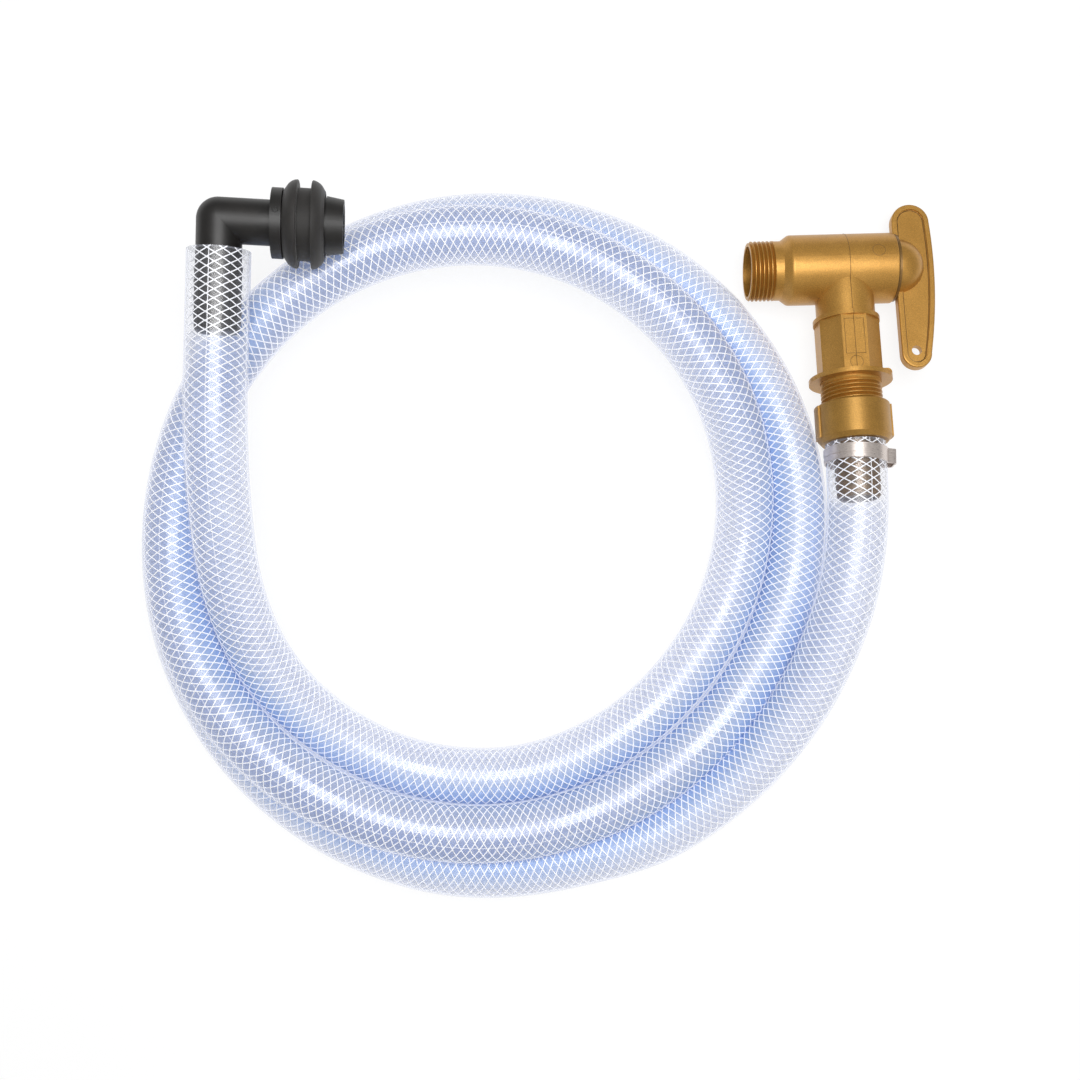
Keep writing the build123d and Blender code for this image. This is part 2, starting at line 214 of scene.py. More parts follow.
def smooth_line(points):
    """Points along the NURBS spline that has these control points."""
    curve = bpy.data.curves.new("route", "CURVE")
    curve.dimensions = "3D"
    curve.resolution_u = ROUTE_RESOLUTION
    spline = curve.splines.new("NURBS")
    spline.points.add(len(points) - 1)
    for point, place in zip(spline.points, points):
        point.co = (*place, 1)
    spline.order_u = 3
    spline.use_endpoint_u = True
    carrier = bpy.data.objects.new("route", curve)
    scene.collection.objects.link(carrier)
    bpy.context.view_layer.update()
    mesh = bpy.data.meshes.new_from_object(carrier)
    line = [v.co.copy() for v in mesh.vertices]
    bpy.data.objects.remove(carrier)
    bpy.data.meshes.remove(mesh)
    return line


def even_line(line, spacing):
    """The same line with its points about this far apart, and its length."""
    lengths = [0.0]
    for a, b in zip(line, line[1:]):
        lengths.append(lengths[-1] + (b - a).length)
    count = max(2, round(lengths[-1] / spacing))
    result, k = [], 0
    for i in range(count + 1):
        wanted = lengths[-1] * i / count
        while k < len(line) - 2 and lengths[k + 1] < wanted:
            k += 1
        share = (wanted - lengths[k]) / max(lengths[k + 1] - lengths[k], 1e-12)
        result.append(line[k].lerp(line[k + 1], min(1.0, share)))
    return result, lengths[-1]


def line_frames(line):
    """A side and an up direction at each point, turning no more than the line does."""
    tangents = []
    for i in range(len(line)):
        ahead, behind = line[min(i + 1, len(line) - 1)], line[max(i - 1, 0)]
        tangents.append((ahead - behind).normalized())
    side = tangents[0].cross(Vector((0, 0, 1))).normalized()
    frames = []
    for i, tangent in enumerate(tangents):
        if i:
            side = tangents[i - 1].rotation_difference(tangent) @ side
        side = (side - tangent * side.dot(tangent)).normalized()
        frames.append((side, tangent.cross(side)))
    return frames


def camera():
    """Looks straight down, a little turned."""
    data = bpy.data.cameras.new("camera")
    data.lens = CAMERA_LENS
    data.sensor_width = SENSOR_WIDTH
    data.clip_start, data.clip_end = 0.01, 10
    eye = bpy.data.objects.new("camera", data)
    eye.location = CAMERA_AT
    eye.rotation_euler = (0, 0, CAMERA_ROLL)
    scene.collection.objects.link(eye)
    scene.camera = eye


# ---- node helpers ----
def material(name):
    """A new material, its nodes and its main shader."""
    made = bpy.data.materials.new(name)
    made.use_nodes = True
    tree = made.node_tree
    return made, tree, tree.nodes["Principled BSDF"]


def add_node(tree, kind, inputs=None, **settings):
    """A new node with these input values and settings."""
    node = tree.nodes.new(kind)
    for key, value in settings.items():
        setattr(node, key, value)
    for key, value in (inputs or {}).items():
        node.inputs[key].default_value = value
    return node


def noise(tree, scale, detail=4.0, roughness=0.55, stretch=(1, 1, 1)):
    """Noise in the object's own space, with scale in waves per metre."""
    where = add_node(tree, "ShaderNodeTexCoord")
    squeeze = add_node(tree, "ShaderNodeMapping", {"Scale": stretch})
    made = add_node(tree, "ShaderNodeTexNoise", {"Scale": scale, "Detail": detail, "Roughness": roughness})
    tree.links.new(where.outputs["Object"], squeeze.inputs["Vector"])
    tree.links.new(squeeze.outputs["Vector"], made.inputs["Vector"])
    return made.outputs["Fac"]


def ramp(tree, factor, stops):
    """Colours along a factor, from stops of (place, colour)."""
    made = add_node(tree, "ShaderNodeValToRGB")
    elements = made.color_ramp.elements
    while len(elements) < len(stops):
        elements.new(0.5)
    for element, (place, colour) in zip(elements, stops):
        element.position = place
        element.color = (*colour, 1)
    tree.links.new(factor, made.inputs["Fac"])
    return made.outputs["Color"]


def span(tree, factor, low, high):
    """A factor of 0 to 1 stretched over another range."""
    made = add_node(tree, "ShaderNodeMapRange", {"To Min": low, "To Max": high})
    tree.links.new(factor, made.inputs["Value"])
    return made.outputs["Result"]


def math_node(tree, operation, a, b):
    """A maths node on two values, each a number or another node's output."""
    made = add_node(tree, "ShaderNodeMath", operation=operation)
    for socket, value in zip(made.inputs, (a, b)):
        if isinstance(value, (int, float)):
            socket.default_value = value
        else:
            tree.links.new(value, socket)
    return made.outputs["Value"]


def bump(tree, height, strength, distance, shader):
    """Relief on a shader from a height."""
    made = add_node(tree, "ShaderNodeBump", {"Strength": strength, "Distance": distance})
    tree.links.new(height, made.inputs["Height"])
    tree.links.new(made.outputs["Normal"], shader.inputs["Normal"])


def patterned(name, pattern, colours, roughness, strength, distance, grain=None):
    """A material whose colour and roughness follow one noise, and its relief that noise or a finer one."""
    made, tree, shader = material(name)
    marks = noise(tree, *pattern)
    tree.links.new(ramp(tree, marks, colours), shader.inputs["Base Color"])
    tree.links.new(span(tree, marks, *roughness), shader.inputs["Roughness"])
    bump(tree, noise(tree, *grain) if grain else marks, strength, distance, shader)
    return made, shader


# ---- materials ----
def gold_plastic(name, dark, light):
    """Gold-coloured moulded plastic: fine metal flake, soft mottling, a satin skin."""
    made, tree, shader = material(name)
    mottle = noise(tree, 55, 5, 0.6)
    flake = noise(tree, 2600, 2, 0.5)
    mix = add_node(tree, "ShaderNodeMix", {"Factor": 0.45}, data_type="RGBA", blend_type="OVERLAY")
    tree.links.new(ramp(tree, mottle, [(0.25, dark), (0.75, light)]), mix.inputs["A"])
    tree.links.new(ramp(tree, flake, [(0.35, (0.32, 0.32, 0.32)), (0.68, (0.72, 0.72, 0.72))]),
                   mix.inputs["B"])
    tree.links.new(mix.outputs["Result"], shader.inputs["Base Color"])
    shader.inputs["Metallic"].default_value = 0.58
    tree.links.new(span(tree, mottle, 0.34, 0.46), shader.inputs["Roughness"])
    shader.inputs["Coat Weight"].default_value = 0.12
    shader.inputs["Coat Roughness"].default_value = 0.3
    bump(tree, flake, 0.12, 0.00006, shader)
    return made


def black_plastic():
    """Satin black nylon with a faint spark-eroded grain and handling marks."""
    made, _ = patterned(
        "black_plastic", (90, 6, 0.7, (1, 1, 2.2)),
        [(0.3, (0.007, 0.0065, 0.006)), (0.75, (0.018, 0.016, 0.0145))],
        (0.36, 0.52), 0.25, 0.00005, grain=(1900, 3, 0.6),
    )
    return made


def grommet_rubber():
    """Matt black rubber, dusty, with a slightly pitted skin."""
    made, shader = patterned(
        "grommet_rubber", (140, 7, 0.72), [(0.3, (0.012, 0.011, 0.010)), (0.8, (0.028, 0.025, 0.023))],
        (0.55, 0.75), 0.4, 0.00008, grain=(1300, 5, 0.7),
    )
    shader.inputs["Sheen Weight"].default_value = 0.12
    return made


def seal_rubber():
    """Plain dark rubber of the seals inside the tap."""
    made, _ = patterned(
        "seal_rubber", (900, 4), [(0.3, (0.02, 0.02, 0.02)), (0.8, (0.045, 0.045, 0.045))],
        (0.4, 0.6), 0.2, 0.00005,
    )
    return made


def steel():
    """Stainless band, brushed along its length."""
    made, shader = patterned(
        "steel", (700, 3, 0.6, (0.12, 3.5, 3.5)), [(0.3, (0.60, 0.53, 0.49)), (0.7, (0.79, 0.71, 0.66))],
        (0.22, 0.38), 0.15, 0.00003,
    )
    shader.inputs["Metallic"].default_value = 0.75
    return made


def tail_plastic():
    """Brown-gold plastic of the hose tail, duller than the tap."""
    made, shader = patterned(
        "tail_plastic", (160, 5), [(0.3, (0.115, 0.068, 0.028)), (0.75, (0.25, 0.145, 0.06))],
        (0.3, 0.45), 0.2, 0.0001,
    )
    shader.inputs["Metallic"].default_value = 0.3
    return made


def plug_plastic():
    """Pale plastic of the plug inside the tap."""
    made, _ = patterned(
        "plug_plastic", (260, 4), [(0.3, (0.5, 0.3, 0.09)), (0.75, (0.62, 0.38, 0.12))],
        (0.4, 0.55), 0.15, 0.0001,
    )
    return made


def clear_skin():
    """The hose's outer face: clear, deeper in colour towards its edges, glossy, with the braid's relief."""
    made, tree, shader = material("clear_skin")
    tree.nodes.remove(shader)
    edge = add_node(tree, "ShaderNodeLayerWeight", {"Blend": 0.3}).outputs["Facing"]
    through = add_node(tree, "ShaderNodeBsdfTransparent")
    tree.links.new(ramp(tree, edge, [(0.3, (0.97, 0.975, 0.995)), (1.0, (0.80, 0.83, 0.93))]),
                   through.inputs["Color"])
    sharp = add_node(tree, "ShaderNodeBsdfGlossy", {"Roughness": 0.16, "Color": (1, 1, 1, 1)})
    broad = add_node(tree, "ShaderNodeBsdfGlossy", {"Roughness": 0.44, "Color": (1, 1, 1, 1)})
    shine = add_node(tree, "ShaderNodeMixShader")
    wet = ramp(tree, noise(tree, 34, 4, 0.6), [(0.48, (0.2, 0.2, 0.2)), (0.6, (0.85, 0.85, 0.85))])
    tree.links.new(wet, shine.inputs["Fac"])
    tree.links.new(broad.outputs["BSDF"], shine.inputs[1])
    tree.links.new(sharp.outputs["BSDF"], shine.inputs[2])
    relief = add_node(tree, "ShaderNodeBump", {"Strength": 0.19, "Distance": 0.00015})
    height = math_node(tree, "ADD", braid_relief(tree), math_node(tree, "MULTIPLY", noise(tree, 200, 2), 0.4))
    tree.links.new(height, relief.inputs["Height"])
    tree.links.new(relief.outputs["Normal"], sharp.inputs["Normal"])
    front = math_node(tree, "SUBTRACT", 1.0, add_node(tree, "ShaderNodeNewGeometry").outputs["Backfacing"])
    near = add_node(tree, "ShaderNodeAttribute", attribute_name="near").outputs["Fac"]
    fresnel = add_node(tree, "ShaderNodeFresnel", {"IOR": 1.8}).outputs["Fac"]
    mirror = math_node(tree, "MULTIPLY", fresnel, front)
    # The reflection is weakened where another strand lies beside: painted shade on the reflection.
    mirror = math_node(tree, "MULTIPLY", mirror, span(tree, near, 1.0, 0.35))
    surface = add_node(tree, "ShaderNodeMixShader")
    tree.links.new(mirror, surface.inputs["Fac"])
    tree.links.new(through.outputs["BSDF"], surface.inputs[1])
    tree.links.new(shine.outputs["Shader"], surface.inputs[2])
    tree.links.new(surface.outputs["Shader"], tree.nodes["Material Output"].inputs["Surface"])
    return made


def braid_relief(tree):
    """Height of the two families of yarns that show through the skin, from the tube's own unrolled map."""
    where = add_node(tree, "ShaderNodeSeparateXYZ")
    tree.links.new(add_node(tree, "ShaderNodeUVMap", uv_map="unrolled").outputs["UV"], where.inputs["Vector"])
    ridges = []
    for operation, offset in (("SUBTRACT", 0.0), ("ADD", 0.5)):
        across = math_node(tree, operation, where.outputs["X"], where.outputs["Y"])
        off_line = math_node(tree, "PINGPONG", math_node(tree, "ADD", across, offset), 0.5)
        ridges.append(math_node(tree, "SUBTRACT", 1.0, math_node(tree, "MINIMUM",
                      math_node(tree, "MULTIPLY", off_line, 5.0), 1.0)))
    return math_node(tree, "MAXIMUM", *ridges)


def clear_body(name, near_amounts, edge_amount, colours):
    """The milkiness inside the wall: pale in the open, whiter at the edges, darker and bluer where strands
    touch (partly a tint, partly painted shade), with a faint glow that is painted light.
    """
    made, tree, shader = material(name)
    shader.inputs["Roughness"].default_value = 0.5
    shader.inputs["Specular IOR Level"].default_value = 0.0
    # A faint glow in the milk's own colour: painted light that keeps it pale.
    shader.inputs["Emission Strength"].default_value = 0.1
    near = add_node(tree, "ShaderNodeAttribute", attribute_name="near").outputs["Fac"]
    empty = add_node(tree, "ShaderNodeAttribute", attribute_name="empty").outputs["Fac"]
    edge = add_node(tree, "ShaderNodeLayerWeight", {"Blend": 0.3}).outputs["Facing"]
    milk = add_node(tree, "ShaderNodeMix", {"B": (0.78, 0.80, 0.89, 1)}, data_type="RGBA")
    open_edge = math_node(tree, "MULTIPLY", edge, math_node(tree, "SUBTRACT", 1.0, near))
    tree.links.new(open_edge, milk.inputs["Factor"])
    tree.links.new(ramp(tree, near, colours), milk.inputs["A"])
    tree.links.new(milk.outputs["Result"], shader.inputs["Base Color"])
    tree.links.new(milk.outputs["Result"], shader.inputs["Emission Color"])
    in_open, in_valley = near_amounts
    amount = math_node(tree, "ADD", math_node(tree, "MULTIPLY", near, in_valley - in_open), in_open)
    amount = math_node(tree, "MAXIMUM", amount, math_node(tree, "MULTIPLY", edge, edge_amount))
    amount = math_node(tree, "MULTIPLY", amount, span(tree, noise(tree, 70), 0.8, 1.2))
    tree.links.new(math_node(tree, "MULTIPLY", amount, empty), shader.inputs["Alpha"])
    return made


def yarn_white():
    """Bright polyester yarn, lightly twisted, with a little glow that is painted light, standing in for light
    reaching it from all round.
    """
    made, tree, shader = material("yarn_white")
    twist = noise(tree, 1500, 2)
    tree.links.new(ramp(tree, twist, [(0.3, (0.86, 0.87, 0.92)), (0.7, (1.0, 1.0, 1.0))]),
                   shader.inputs["Base Color"])
    tree.links.new(span(tree, twist, 0.35, 0.5), shader.inputs["Roughness"])
    # Emission here is painted light.
    shader.inputs["Emission Color"].default_value = (1, 1, 1, 1)
    shader.inputs["Emission Strength"].default_value = 0.22
    return made


def sawn_end():
    """The hose's cut face, where the clear wall turns frosty."""
    made, tree, shader = material("sawn_end")
    frost = noise(tree, 700, 4)
    tree.links.new(ramp(tree, frost, [(0.3, (0.72, 0.75, 0.84)), (0.7, (0.92, 0.93, 0.97))]),
                   shader.inputs["Base Color"])
    tree.links.new(span(tree, frost, 0.45, 0.6), shader.inputs["Roughness"])
    shader.inputs["Alpha"].default_value = 0.45
    return made


# ---- shapes ----
def around(place, side, up, turn, radius):
    """The point at this turn and radius round a place."""
    return place + (side * math.cos(turn) + up * math.sin(turn)) * radius


def wall_faces(rings, sides, start=0):
    """The four-sided faces between rings that have this many points each."""
    faces = []
    for i in range(rings - 1):
        for k in range(sides):
            a, b = start + i * sides + k, start + i * sides + (k + 1) % sides
            faces.append((a, b, b + sides, a + sides))
    return faces


def ring_stack(rings):
    """Vertices and faces of a skin over rings that have the same number of points, closed at both ends."""
    sides = len(rings[0])
    verts = [point for ring in rings for point in ring]
    faces = wall_faces(len(rings), sides)
    faces.append(tuple(reversed(range(sides))))
    faces.append(tuple(range(len(verts) - sides, len(verts))))
    return verts, faces


def joined(stacks):
    """Vertices and faces of several stacks of rings in one mesh."""
    verts, faces = [], []
    for rings in stacks:
        more, skin_faces = ring_stack(rings)
        faces += [tuple(index + len(verts) for index in face) for face in skin_faces]
        verts += more
    return verts, faces


def mesh_piece(name, verts, faces, skin, body=ROOT):
    """A smooth-shaded piece that rides on a body."""
    mesh = bpy.data.meshes.new(name)
    mesh.from_pydata(verts, [], faces)
    mesh.validate()
    mesh.shade_smooth()
    piece = bpy.data.objects.new(name, mesh)
    scene.collection.objects.link(piece)
    mesh.materials.append(skin)
    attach(piece, body)
    return piece


# ---- hose ----
def closeness(line, spacing):
    """For each point of the line, the places of the strands that lie beside it, at every second point."""
    skip = round(SAME_STRAND / spacing)
    found = []
    for i, place in enumerate(line):
        near = []
        for j in range(0, len(line), 2):
            if abs(i - j) > skip and (line[j] - place).length_squared < STRAND_REACH ** 2:
                near.append(line[j])
        found.append(near)
    return found


def emptiness(rings, sides):
    """1 where the hose is empty and low where a spigot fills it, so that the spigot shows clearly."""
    values = []
    for i in range(rings):
        from_elbow = i * WALL_SPACING - (SPIGOT_END - HOSE_STARTS_ON_SPIGOT)
        from_tail = (rings - 1 - i) * WALL_SPACING - (TAIL_END - HOSE_STARTS_ON_TAIL)
        clear = min(1.0, max(0.0, min(from_elbow, from_tail) / MILK_FADE))
        values += [MILK_ON_SPIGOT + (1 - MILK_ON_SPIGOT) * clear] * sides
    return values


def nearness(place, beside):
    """How near the closest strand beside a place is: 0 in the open, 1 where they touch."""
    if not beside:
        return 0.0
    gap = min((other - place).length for other in beside) - HOSE_R
    value = max(0.0, 1 - max(0.0, gap) / TINT_AND_SHADE_REACH)
    return value * value * (3 - 2 * value)


def tube(name, line, frames, radius, skin, sides, beside):
    """A tube wall along the line. It stores how near the next strand is and where the hose is empty."""
    verts, near = [], []
    for i, (place, (side, up)) in enumerate(zip(line, frames)):
        for k in range(sides):
            vert = around(place, side, up, 2 * math.pi * k / sides, radius)
            verts.append(vert)
            near.append(nearness(vert, beside[i]))
    piece = mesh_piece(name, verts, wall_faces(len(line), sides), skin)
    for stored, values in (("near", near), ("empty", emptiness(len(line), sides))):
        piece.data.attributes.new(stored, "FLOAT", "POINT").data.foreach_set("value", values)
    unrolled = piece.data.uv_layers.new(name="unrolled")
    for loop in piece.data.loops:
        ring, k = divmod(loop.vertex_index, sides)
        wraps = k == 0 and loop.index % 4 in (1, 2)  # the far corners of the face that closes a ring
        u = YARNS_EACH_WAY * (1.0 if wraps else k / sides)
        unrolled.data[loop.index].uv = (u, YARNS_EACH_WAY * ring * WALL_SPACING / YARN_PITCH)
    return piece


def hose_end_ring(name, place, side, up, skin):
    """The flat cut face between the hose's outside and its bore."""
    verts = [around(place, side, up, 2 * math.pi * k / CUT_FACE_SIDES, radius)
             for radius in (HOSE_R, BORE_R) for k in range(CUT_FACE_SIDES)]
    faces = []
    for k in range(CUT_FACE_SIDES):
        b = (k + 1) % CUT_FACE_SIDES
        faces.append((k, b, CUT_FACE_SIDES + b, CUT_FACE_SIDES + k))
    return mesh_piece(name, verts, faces, skin)


def ribbon(line, frames, spacing, turn_at, radius, width, thick, verts, faces):
    """Adds one yarn: a flat strip of four sides that follows the hose's wall."""
    start = len(verts)
    for i, (place, (side, up)) in enumerate(zip(line, frames)):
        turn = turn_at(i * spacing)
        out = side * math.cos(turn) + up * math.sin(turn)
        round_hose = up * math.cos(turn) - side * math.sin(turn)
        rate = (turn_at((i + 1) * spacing) - turn) / spacing
        along = (side.cross(up) + round_hose * rate * radius).normalized()
        across = out.cross(along)
        centre = place + out * radius
        verts += [centre + across * width / 2, centre + out * thick / 2,
                  centre - across * width / 2, centre - out * thick / 2]
    faces += wall_faces(len(line), 4, start)


def braid(name, line, frames, spacing, way, skin):
    """All the yarns that wind one way round the hose."""
    verts, faces = [], []
    layer = YARN_LAYER_R + way * YARN_CROSSING
    for index in range(YARNS_EACH_WAY):
        phase = 2 * math.pi * (index + (0.5 if way < 0 else 0)) / YARNS_EACH_WAY
        ribbon(line, frames, spacing, lambda s, p=phase: p + way * 2 * math.pi * s / YARN_PITCH,
               layer, YARN_WIDTH, YARN_THICKNESS, verts, faces)
    return mesh_piece(name, verts, faces, skin)


def marker_line(name, line, frames, spacing, skin):
    """The single straight thread laid along the hose, on top where the hose leaves the elbow."""
    side, up = frames[0]
    turn = math.atan2(MARKER_FACING.dot(up), MARKER_FACING.dot(side))
    verts, faces = [], []
    ribbon(line, frames, spacing, lambda s: turn, MARKER_R, MARKER_WIDTH, MARKER_THICKNESS, verts, faces)
    return mesh_piece(name, verts, faces, skin)


def make_hose():
    """The clear braided hose from end to end, in place of the three CAD solids."""
    skin = clear_skin()
    # Body and lining colours run from the open to where strands touch: darker and bluer there, partly painted
    # shade.
    body = clear_body("clear_body", (0.34, 0.86), 0.6,
                      [(0.0, (0.56, 0.61, 0.75)), (0.5, (0.43, 0.53, 0.73)), (1.0, (0.27, 0.40, 0.68))])
    lining = clear_body("clear_lining", (0.12, 0.35), 0.3,
                        [(0.0, (0.60, 0.64, 0.79)), (1.0, (0.32, 0.45, 0.73))])
    yarn = yarn_white()
    cut_face = sawn_end()
    route = smooth_line(hose_route())
    wall_line, length = even_line(route, WALL_SPACING)
    wall_frames = line_frames(wall_line)
    beside = closeness(wall_line, WALL_SPACING)
    outside = tube("hose_wall", wall_line, wall_frames, HOSE_R, skin, HOSE_SIDES, beside)
    yarn_line, _ = even_line(route, YARN_SPACING)
    yarn_frames = line_frames(yarn_line)
    step = length / (len(yarn_line) - 1)
    pieces = [
        tube("hose_body", wall_line, wall_frames, BODY_R, body, BODY_SIDES, beside),
        tube("hose_bore", wall_line, wall_frames, BORE_R, lining, BORE_SIDES, beside),
        braid("braid_right", yarn_line, yarn_frames, step, 1, yarn),
        braid("braid_left", yarn_line, yarn_frames, step, -1, yarn),
        marker_line("marker_thread", yarn_line, yarn_frames, step, yarn),
        hose_end_ring("hose_end_elbow", wall_line[0], *wall_frames[0], cut_face),
        hose_end_ring("hose_end_tap", wall_line[-1], *wall_frames[-1], cut_face),
    ]
    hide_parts("hose_elbow_run", "hose_tap_run", "hose_coil")


# ---- fittings ----
def dress(node, skin, soft_edge=None):
    """Gives a CAD node its material and, where asked, a small rounding on its sharp edges."""
    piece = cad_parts[node]
    piece.data.materials.clear()
    piece.data.materials.append(skin)
    if soft_edge:
        bevel = piece.modifiers.new("soft_edge", "BEVEL")
        bevel.width = soft_edge
        bevel.segments = 2
        bevel.limit_method = "ANGLE"
        bevel.angle_limit = BEVEL_ANGLE


def thread_cutter(name, origin, axis, side, starts, ends):
    """A closed V-shaped groove wound round an axis, right-handed, that lifts out at its last half turn."""
    up = axis.cross(side)
    half_width = (THREAD_PITCH - THREAD_CREST) / 2
    clearance, mouth, outside = 0.1 * MM, THREAD_R + 0.04 * MM, THREAD_R + 0.7 * MM
    steps = round(abs(ends - starts) / THREAD_PITCH * CUTTER_STEPS_PER_TURN)
    rings = []
    for i in range(steps + 1):
        along = starts + (ends - starts) * i / steps
        turn = 2 * math.pi * along / THREAD_PITCH
        out = side * math.cos(turn) + up * math.sin(turn)
        lift = max(0.0, 1 - abs(ends - along) / (THREAD_PITCH / 2)) * (THREAD_DEPTH + clearance)
        root = THREAD_R - THREAD_DEPTH + lift
        rings.append([
            origin + axis * (along + shift) + out * radius
            for shift, radius in [
                (0, root), (half_width, mouth), (half_width, outside),
                (-half_width, outside), (-half_width, mouth),
            ]
        ])
    mesh = bpy.data.meshes.new(name)
    verts, faces = ring_stack(rings)
    mesh.from_pydata(verts, [], faces)
    solid = bmesh.new()
    solid.from_mesh(mesh)
    bmesh.ops.recalc_face_normals(solid, faces=solid.faces)
    solid.to_mesh(mesh)
    solid.free()
    mesh.shade_smooth()
    mesh.set_sharp_from_angle(angle=SHARP_ANGLE)
    keep_shading(mesh, -1)
    cutter = bpy.data.objects.new(name, mesh)
    scene.collection.objects.link(cutter)
    return cutter


def keep_shading(mesh, sign):
    """Stores the shading normal of each face corner, times the sign, so that it survives the cut."""
    store = mesh.attributes.new("shade", "FLOAT_VECTOR", "CORNER")
    normals = [sign * part for corner in mesh.corner_normals for part in corner.vector]
    store.data.foreach_set("vector", normals)


def threaded_tap(skin):
    """The tap's body with real thread grooves cut into its inlet and its branch."""
    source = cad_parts["tap_body"]
    body = bpy.data.objects.new("tap_body_threaded", source.data.copy())
    scene.collection.objects.link(body)
    keep_shading(body.data, 1)
    cutters = [
        thread_cutter("inlet_groove", TAP_CENTRE, Vector((-1, 0, 0)), Vector((0, 0, 1)),
                      INLET_END + THREAD_PITCH, INLET_THREAD_END),
        thread_cutter("branch_groove", TAP_CENTRE, BRANCH_DIR, TAP_UP,
                      BRANCH_END + THREAD_PITCH, BRANCH_THREAD_END),
    ]
    for cutter in cutters:
        cut = body.modifiers.new(cutter.name, "BOOLEAN")
        cut.operation = "DIFFERENCE"
        cut.solver = "EXACT"
        cut.object = cutter
    bpy.context.view_layer.update()
    finished = bpy.data.meshes.new_from_object(body.evaluated_get(bpy.context.evaluated_depsgraph_get()))
    body.modifiers.clear()
    body.data = finished
    for cutter in cutters:
        bpy.data.objects.remove(cutter)
    finished.materials.clear()
    finished.materials.append(skin)
    finished.polygons.foreach_set("material_index", [0] * len(finished.polygons))
    kept = [Vector(corner.vector) for corner in finished.attributes["shade"].data]
    too_far_off = 0.4  # cosine: a stored normal further from its face's own is not used
    for face in finished.polygons:
        for index in face.loop_indices:
            if kept[index].dot(face.normal) < too_far_off:
                kept[index] = face.normal.copy()
    finished.shade_smooth()
    finished.normals_split_custom_set([normal.normalized() for normal in kept])
    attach(body, ROOT)
    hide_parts("tap_body")


def bead(points, radius):
    """Rings of a thin round bead along a line of points."""
    return [
        [around(place, side, up, 2 * math.pi * k / BEAD_SIDES, radius) for k in range(BEAD_SIDES)]
        for place, (side, up) in zip(points, line_frames(points))
    ]


def joined_beads(name, lines, skin, body=ROOT):
    """One piece made of several beads, each (points, radius)."""
    verts, faces = joined(bead(points, radius) for points, radius in lines)
    mesh_piece(name, verts, faces, skin, body)


def mould_marks(skin):
    """Parting line, ejector rings and panel outline that moulding leaves on the tap's body."""
    saddle = math.sqrt(BARREL_R ** 2 - BRANCH_R ** 2)
    first = math.atan2(BRANCH_R, saddle)
    turns = [first + (2 * math.pi - 2 * first) * i / 60 for i in range(61)]
    lines = [([around(TAP_CENTRE, BRANCH_DIR, TAP_UP, turn, BARREL_R) for turn in turns], MARK_R)]
    for up in (TAP_UP, -TAP_UP):
        for start, end, radius in [(saddle, COLLAR_START, BRANCH_R), (COLLAR_START, COLLAR_END, COLLAR_R),
                                   (COLLAR_END, FLANGE_START, OCTAGON_FLAT_R)]:
            lines.append(([TAP_CENTRE + BRANCH_DIR * (start + (end - start) * i / 4) + up * radius
                           for i in range(5)], MARK_R))
    ring = [2 * math.pi * i / 36 for i in range(37)]
    on_barrel = []
    for a in ring:
        lean = (EJECTOR_ROUND_BARREL + EJECTOR_R * math.sin(a)) / BARREL_R
        out = TAP_UP * math.cos(lean) - BRANCH_DIR * math.sin(lean)
        along = EJECTOR_ALONG_BARREL + EJECTOR_R * math.cos(a)
        on_barrel.append(TAP_CENTRE + BARREL_DIR * along + out * BARREL_R)
    lines.append((on_barrel, FINE_MARK_R))
    front = TAP_CENTRE + TAP_UP * OCTAGON_FLAT_R

    def on_front(across, along):
        return front + BARREL_DIR * across + BRANCH_DIR * along

    on_flat = [on_front(EJECTOR_R * math.cos(a), EJECTOR_ALONG_BRANCH + EJECTOR_R * math.sin(a))
               for a in ring]
    lines.append((on_flat, FINE_MARK_R))
    corners = [(-OUTLINE_HALF_WIDTH, OUTLINE_START), (OUTLINE_HALF_WIDTH, OUTLINE_START),
               (OUTLINE_HALF_WIDTH, OUTLINE_END), (-OUTLINE_HALF_WIDTH, OUTLINE_END)]
    for (x0, s0), (x1, s1) in zip(corners, corners[1:] + corners[:1]):
        side = [on_front(x0 + (x1 - x0) * i / 4, s0 + (s1 - s0) * i / 4) for i in range(5)]
        lines.append((side, FINE_MARK_R))
    joined_beads("mould_marks", lines, skin)


def arc_points(start, middle, end, count):
    """Points on the flat arc through three points, without the last one."""
    (x0, y0), (x1, y1), (x2, y2) = start, middle, end
    d = 2 * (x0 * (y1 - y2) + x1 * (y2 - y0) + x2 * (y0 - y1))
    squares = [x * x + y * y for x, y in (start, middle, end)]
    cx = (squares[0] * (y1 - y2) + squares[1] * (y2 - y0) + squares[2] * (y0 - y1)) / d
    cy = (squares[0] * (x2 - x1) + squares[1] * (x0 - x2) + squares[2] * (x1 - x0)) / d
    first, halfway, last = (math.atan2(y - cy, x - cx) for x, y in (start, middle, end))
    turn = (last - first) % (2 * math.pi)
    if (halfway - first) % (2 * math.pi) > turn:
        turn -= 2 * math.pi
    radius = math.hypot(x0 - cx, y0 - cy)
    angles = [first + turn * i / count for i in range(count)]
    return [(cx + radius * math.cos(a), cy + radius * math.sin(a)) for a in angles]


def lever_rim_line(skin):
    """A line of painted shade where the lever's sunk panel meets its rim, on both faces, clear of the rim's
    wall.

    Points are (along the branch, out along the barrel) from the middle of the tap, in mm.
    """
    top_in, top, top_out = (-20.9, 25.9), (-26.6, 31.6), (-20.9, 37.3)
    bow, tail_out, tail, tail_in = (2.0, 37.9), (40.8, 33.7), (44.8, 29.7), (40.8, 25.8)
    back, steps = tail_in[0] - top_in[0], 12
    outline = (arc_points(top_in, top, top_out, 16) + arc_points(top_out, bow, tail_out, 24)
               + arc_points(tail_out, tail, tail_in, 14)
               + [(tail_in[0] - back * i / steps, tail_in[1] + (top_in[1] - tail_in[1]) * i / steps)
                  for i in range(steps + 1)])
    lines = [
        ([TAP_CENTRE + BRANCH_DIR * (along * MM) + BARREL_DIR * (out * MM) + TAP_UP * face * LEVER_PANEL
          for along, out in outline], RIM_LINE_R)
        for face in (1, -1)
    ]
    joined_beads("lever_rim_line", lines, skin, "lever")


